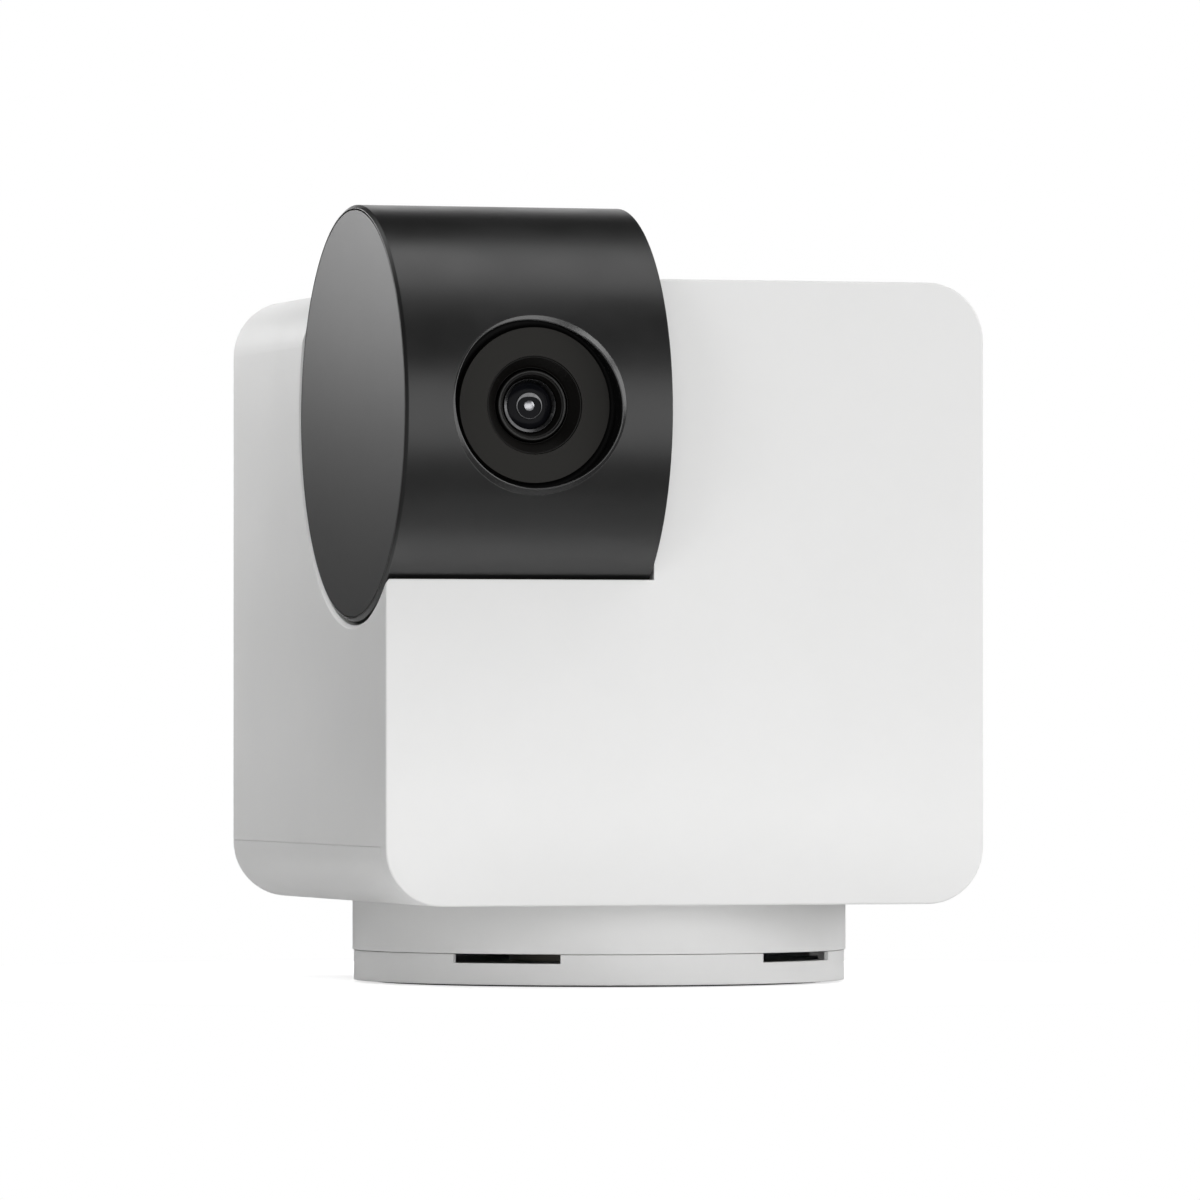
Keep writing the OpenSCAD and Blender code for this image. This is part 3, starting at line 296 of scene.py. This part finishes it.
LENS_X, LENS_Z = middle(WINDOW, X), middle(WINDOW, Z)
HEAD_Y, HEAD_Z = middle(CAP, Y), middle(CAP, Z)
HEAD_R = half_size(SHELL, Z)
BARREL_Y = BARREL[0][Y] / MM
BEZEL_Y = BEZEL[0][Y] / MM
PORT_R = half_size(BEZEL, X) + BEZEL_GAP
TRAY_LEFT, TRAY_RIGHT = TRAY[0][X] / MM, TRAY[1][X] / MM
TRAY_FRONT, TRAY_REAR = TRAY[0][Y] / MM, TRAY[1][Y] / MM


# Pieces round the lens, in mm, and in degrees round the optical axis from its right

AXIS_R = 0.004                      # domes end this short of the axis
LIP_CLEAR = 0.006                   # from the port's wall to the lip
LIP_SUNK = 0.05                     # from the head's front back to the lip's outer edge
LIP_BACK = 0.12                     # from the bezel's front to the back of the lip
LIP_FLANK, LIP_PROUD, LIP_ROLL = 0.07, 0.03, 0.13
LIP_GAIN = 0.5                      # what the flank's width gains where it is raised or flush
LIP_RISE = 0.3                      # share of that gain by which the raised flank stands proud
RAISED_AT, RAISED_FALL = 48, 1.5    # place and how fast it ends to both sides
FLUSH_AT, FLUSH_FALL = 258, 1.2
LEAN_AT = 62


def ring(name, section, material, steps=160, sharp=38):
    """Closed ring round the optical axis. section(turn) gives its outline as (radius, y) pairs."""
    turns = [2 * math.pi * k / steps for k in range(steps)]
    outlines = [
        [(LENS_X + r * math.cos(turn), y, LENS_Z + r * math.sin(turn)) for r, y in section(turn)]
        for turn in turns
    ]
    obj = swept(name, outlines, material, closed=True)
    obj.data.set_sharp_from_angle(angle=math.radians(sharp))
    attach(obj, "head")
    return obj


def front_at(turn, r):
    """Front of the head's cylinder at a point round the optical axis."""
    return HEAD_Y - math.sqrt(HEAD_R ** 2 - (LENS_Z + r * math.sin(turn) - HEAD_Z) ** 2)


def towards(turn, degrees, fall):
    """1 at that place round the axis, falling to 0 at a quarter turn from it."""
    return max(0.0, math.cos(turn - math.radians(degrees))) ** fall


def sag(radius, out):
    """How far a ball's surface falls back at a distance from its foremost point."""
    return radius - math.sqrt(radius ** 2 - out ** 2)


def from_barrel(points):
    """Outline whose y is given from the front of the lens barrel."""
    return [(r, BARREL_Y + y) for r, y in points]


def lip_section(turn, flank_steps=8, roll_steps=6):
    """Edge of the port: a flank, raised to the upper right and flush below, a roll, then the wall."""
    raised = LIP_GAIN * towards(turn, RAISED_AT, RAISED_FALL)
    flush = LIP_GAIN * towards(turn, FLUSH_AT, FLUSH_FALL)
    flank = LIP_FLANK + raised + flush
    proud = LIP_PROUD + LIP_RISE * raised
    outer = PORT_R - LIP_CLEAR
    points = [(outer, front_at(turn, outer) + LIP_SUNK)]
    for k in range(flank_steps + 1):
        r = outer - flank * k / flank_steps
        points.append((r, front_at(turn, r) - proud * k / flank_steps))
    crest_r, crest_y = points[-1]
    for k in range(1, roll_steps + 1):
        t = math.pi / 2 * k / roll_steps
        points.append((crest_r - LIP_ROLL * math.sin(t), crest_y + LIP_ROLL * (1 - math.cos(t))))
    back = BEZEL_Y + LIP_BACK
    return points + [(crest_r - LIP_ROLL, back), (outer, back)]


def rim_section(turn, inner=3.16, outer=3.5, front=-0.14, back=0.18, steps=8):
    """Rim of the barrel: an upright ring with a rounded front edge."""
    half = (outer - inner) / 2
    arc = [math.pi * k / steps for k in range(steps + 1)]
    points = [(inner + half + half * math.cos(t), front + half * (1 - math.sin(t))) for t in arc]
    return from_barrel(points + [(inner, back), (outer, back)])


def seat_section(turn, inner=2.3, outer=2.7, front=0.72, back=1.5, most_lean=0.3, eased=0.12, soft=0.02):
    """Ring that holds the glass: eased edges, and a face that leans in more to the upper right."""
    lean = most_lean * (1 + math.cos(turn - math.radians(LEAN_AT))) / 2
    return from_barrel([
        (outer, front + eased), (outer - eased / 2, front + soft), (outer - 5 * soft, front),
        (inner + 2 * soft, front + soft + lean), (inner, front + eased + lean),
        (inner, back), (outer, back),
    ])


def glass_section(turn, dome=2.1, flat=1.34, reach=2.64, front=1.04, back=2.9, steps=8):
    """Front glass: a shallow coated dome with a flat seat for the iris at its middle."""
    points = [(AXIS_R, back), (reach, back)]
    for k in range(steps, -1, -1):
        out = (reach - flat) * k / steps
        points.append((flat + out, front + sag(dome, out)))
    return from_barrel(points + [(AXIS_R, front)])


def iris_section(turn, outer=1.36, front=0.91, back=1.06, eased=0.08, soft=0.04, slope=0.03, lean=0.16):
    """Stop ring in the glass: a crescent that is widest at its top, with an eased outer edge."""
    least, gain, fall = 0.03, 0.36, 4
    wide = least + gain * ((1 + math.sin(turn)) / 2) ** fall
    edge = outer - eased
    return from_barrel([
        (outer, back), (outer - slope, front + soft), (edge, front),
        (edge - wide, front + lean * wide), (edge - wide - slope, back),
    ])


def core_section(turn, dome=1.5, reach=0.5, front=0.86, back=1.3, steps=9):
    """Small strongly curved element inside the iris."""
    across = [max(AXIS_R, reach * k / steps) for k in range(steps + 1)]
    points = [(r, front + sag(dome, r)) for r in across]
    return from_barrel(points + [(reach, back), (AXIS_R, back)])


ring("port_lip", lip_section, PORT_EDGE)
ring("barrel_rim", rim_section, RIM_BLACK)
ring("glass_ring", seat_section, RING_METAL, sharp=30)
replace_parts(ring("front_glass", glass_section, MATERIALS["lens_glass"]), "lens_front")
ring("iris_ring", iris_section, STOP_METAL, sharp=30)
ring("inner_element", core_section, COATED)


# Strip behind the tray's seam, round the sides and the rear, in mm

def side_heights(node, near=0.01):
    """Heights of a node's points on the left side, behind the middle."""
    points = [[c / MM for c in vertex.co] for vertex in NODES[node].data.vertices]
    return [z for x, y, z in points if x < TRAY_LEFT + near and y > 0]


def seam_line(inset, corner=1.2, steps=8):
    """Points (x, y) along the tray's left side, rear and right side, inset from its outline."""
    bend = corner - inset
    line = [(TRAY_LEFT + inset, TRAY_FRONT)]
    for x, start in ((TRAY_LEFT + corner, 180), (TRAY_RIGHT - corner, 90)):
        for k in range(steps + 1):
            t = math.radians(start - 90 * k / steps)
            line.append((x + bend * math.cos(t), TRAY_REAR - corner + bend * math.sin(t)))
    return line + [(TRAY_RIGHT - inset, TRAY_FRONT)]


def tray_lip(setback=0.05, wide=0.6, bite=0.006):
    """White strip from just inside the tray's edge to just inside the housing's."""
    low = max(side_heights("bottom_tray")) - bite
    high = min(side_heights("main_housing")) + bite
    outlines = [
        [(*a, low), (*a, high), (*b, high), (*b, low)]
        for a, b in zip(seam_line(setback), seam_line(setback + wide))
    ]
    obj = swept("tray_lip", outlines, MATERIALS["white_plastic"], closed=False)
    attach(obj, "body")


tray_lip()


# Studio, in m and degrees

WHITE = (1, 1, 1, 1)
FLOOR_R, FLOOR_Z, FLOOR_STEPS = 0.085, -0.00004, 72
FLOOR_GRAIN = 40.0                  # mm
FLOOR_PALE, FLOOR_PALER = (0.8, 0.8, 0.8), (0.82, 0.82, 0.82)
FLOOR_ROUGH = 0.9
FLOOR_FADE_FROM = 0.05              # from the axis to where the floor starts to go white
FLOOR_NEAR_LEVEL = 0.62             # what the floor adds up to there for the camera
FLOOR_CLEAR = 0.0006                # shorter rays pass through the floor

# Painted reflection: an elliptical patch at the floor's front left that glows for glossy rays only, so
# glossy surfaces show it though no lamp lights it
PAINTED_REFLECTION_SHIFT, PAINTED_REFLECTION_SCALE = (0.48, 1.54, 0.0), (17.0, 51.3, 1.0)
PAINTED_REFLECTION_INNER, PAINTED_REFLECTION_OUTER, PAINTED_REFLECTION_LEVEL = 0.85, 1.15, 1.1

# Dim surroundings, brighter below. The level changes between these heights of a direction
BELOW_LEVEL, ABOVE_LEVEL = 0.21, 0.03
HORIZON_LOW, HORIZON_HIGH = -0.1, 0.05

AIM = (0, -0.01, 0.045)             # middle of the object, which the large lamps face

# Large lamps: name, azimuth, elevation, distance, width, height, brightness
SOFTBOXES = [
    ("front_softbox", 4, 0, 1.1, 1.3, 0.8, 2.06),
    ("right_softbox", 62, 17, 1.0, 0.8, 0.6, 3.0),
    ("right_high_card", 63, 48, 1.0, 0.3, 0.4, 3.9),
    ("left_softbox", -50, 8, 1.0, 0.5, 0.5, 1.7),
    ("left_panel", -98, -8, 0.9, 0.6, 0.4, 0.5),
    ("top_softbox", 0, 86, 0.8, 0.6, 0.5, 2.4),
    ("rear_panel", 164, 15, 1.2, 0.8, 0.64, 1.2),
]

# Small round lamps near the left side: name, azimuth, elevation, distance, diameter, brightness, aim
CARDS = [
    ("left_high_card", -113.5, 57.9, 0.1416, 0.08, 1.0, (-0.031, 0, 0.05)),
    ("left_low_card", -121.7, 31.9, 0.1232, 0.08, 1.8, (-0.031, -0.005, 0.055)),
    ("left_card", -148.2, 15, 0.1158, 0.06, 3.35, (-0.031, -0.005, 0.06)),
    ("rear_card", -148.7, 18.2, 0.1601, 0.05, 2.9, (-0.031, 0, 0.06)),
]

# Camera fitted to the photo
CAMERA_TURN, CAMERA_PITCH = 16.16, 0.7137
CAMERA_BACK, CAMERA_RIGHT, CAMERA_HEIGHT = 0.9751, 0.000103, 0.02686
CAMERA_SENSOR, CAMERA_LENS = 36.0, 285.4    # mm
CAMERA_NEAR, CAMERA_FAR = 0.01, 50.0


def floor_material():
    """Pale matt floor that goes white towards its rim for the camera, with a painted reflection: a patch at
    its front left that glows for glossy rays only.

    It is clear from below and close under the foot, so that the underside can be seen and lit.
    """
    mat, tree, bsdf = shader("studio_floor")
    path = add(tree, "ShaderNodeLightPath").outputs
    place = add(tree, "ShaderNodeNewGeometry").outputs
    tone = blend(tree, noise(tree, FLOOR_GRAIN), FLOOR_PALE, FLOOR_PALER)
    tree.links.new(tone, bsdf.inputs["Base Color"])
    bsdf.inputs["Roughness"].default_value = FLOOR_ROUGH
    bsdf.inputs["Specular IOR Level"].default_value = 0.0
    bsdf.inputs["Emission Color"].default_value = WHITE

    white = spread(tree, length(tree, place["Position"]), FLOOR_NEAR_LEVEL, 1.0, FLOOR_FADE_FROM, FLOOR_R)
    # Painted reflection: emission on a patch of the floor that only glossy rays see
    patch = add(tree, "ShaderNodeMapping", {"Location": PAINTED_REFLECTION_SHIFT, "Scale": PAINTED_REFLECTION_SCALE})
    tree.links.new(place["Position"], patch.inputs["Vector"])
    painted_reflection = spread(tree, length(tree, patch.outputs["Vector"]), PAINTED_REFLECTION_LEVEL, 0.0, PAINTED_REFLECTION_INNER, PAINTED_REFLECTION_OUTER)
    seen = maths(tree, "MULTIPLY", path["Is Camera Ray"], white)
    level = maths(tree, "MULTIPLY_ADD", path["Is Glossy Ray"], painted_reflection, seen)
    tree.links.new(level, bsdf.inputs["Emission Strength"])

    close = maths(tree, "LESS_THAN", path["Ray Length"], FLOOR_CLEAR)
    hidden = maths(tree, "MAXIMUM", place["Backfacing"], close)
    clear = add(tree, "ShaderNodeBsdfTransparent")
    mix = add(tree, "ShaderNodeMixShader")
    for source, socket in zip((hidden, bsdf.outputs[0], clear.outputs[0]), mix.inputs):
        tree.links.new(source, socket)
    tree.links.new(mix.outputs[0], tree.nodes["Material Output"].inputs["Surface"])
    return mat


def floor():
    """Round floor just under the foot, which keeps the object's shadow."""
    turns = [2 * math.pi * k / FLOOR_STEPS for k in range(FLOOR_STEPS)]
    rim = [(FLOOR_R * math.cos(t), FLOOR_R * math.sin(t), FLOOR_Z) for t in turns]
    mesh = bpy.data.meshes.new("studio_floor")
    mesh.from_pydata(rim, [], [tuple(range(FLOOR_STEPS))])
    mesh.materials.append(floor_material())
    obj = placed("studio_floor", mesh)


def world():
    """White for the camera, and a dim studio that is a little brighter below for all else."""
    made = bpy.data.worlds.new("studio")
    bpy.context.scene.world = made
    made.use_nodes = True
    tree = made.node_tree
    back = tree.nodes["Background"]
    path = add(tree, "ShaderNodeLightPath")
    coord = add(tree, "ShaderNodeTexCoord")
    split = add(tree, "ShaderNodeSeparateXYZ")
    tree.links.new(coord.outputs["Generated"], split.inputs[0])
    fill = spread(tree, split.outputs["Z"], BELOW_LEVEL, ABOVE_LEVEL, HORIZON_LOW, HORIZON_HIGH)
    level = add(tree, "ShaderNodeMix", {3: 1.0}, data_type="FLOAT")
    tree.links.new(path.outputs["Is Camera Ray"], level.inputs[0])
    tree.links.new(fill, level.inputs[2])
    back.inputs["Color"].default_value = WHITE
    tree.links.new(level.outputs[0], back.inputs["Strength"])


def softbox(name, azimuth, elevation, distance, width, height, level, aim=AIM, shape="RECTANGLE"):
    """Soft light that faces its aim. Azimuth 0 is in front and 90 to the right. Level is its brightness."""
    a, e = math.radians(azimuth), math.radians(elevation)
    away = Vector((math.sin(a) * math.cos(e), -math.cos(a) * math.cos(e), math.sin(e)))
    fullness = math.pi / 4 if shape == "ELLIPSE" else 1
    data = bpy.data.lights.new(name, "AREA")
    data.shape = shape
    data.size, data.size_y = width, height
    data.energy = level * math.pi * width * height * fullness
    obj = placed(name, data)
    obj.location = Vector(aim) + away * distance
    obj.rotation_mode = "QUATERNION"
    obj.rotation_quaternion = away.to_track_quat("Z", "Y")
    obj.visible_camera = False


def camera():
    """Long lens that sees the front and the left side from slightly below the middle."""
    turn, pitch = math.radians(CAMERA_TURN), math.radians(CAMERA_PITCH)
    ahead = Vector((math.sin(turn), math.cos(turn), 0))
    right = Vector((math.cos(turn), -math.sin(turn), 0))
    look = ahead * math.cos(pitch) + Vector((0, 0, math.sin(pitch)))
    up = right.cross(look)
    data = bpy.data.cameras.new("photo_camera")
    data.sensor_width = CAMERA_SENSOR
    data.lens = CAMERA_LENS
    data.clip_start, data.clip_end = CAMERA_NEAR, CAMERA_FAR
    obj = placed("photo_camera", data)
    place = -CAMERA_BACK * ahead + CAMERA_RIGHT * right + Vector((0, 0, CAMERA_HEIGHT))
    obj.matrix_world = Matrix.Translation(place) @ Matrix((right, up, -look)).transposed().to_4x4()
    bpy.context.scene.camera = obj


floor()
world()
for row in SOFTBOXES:
    softbox(*row)
for name, azimuth, elevation, distance, size, level, aim in CARDS:
    softbox(name, azimuth, elevation, distance, size, size, level, aim, "ELLIPSE")
camera()
bpy.context.scene.view_settings.view_transform = "Standard"
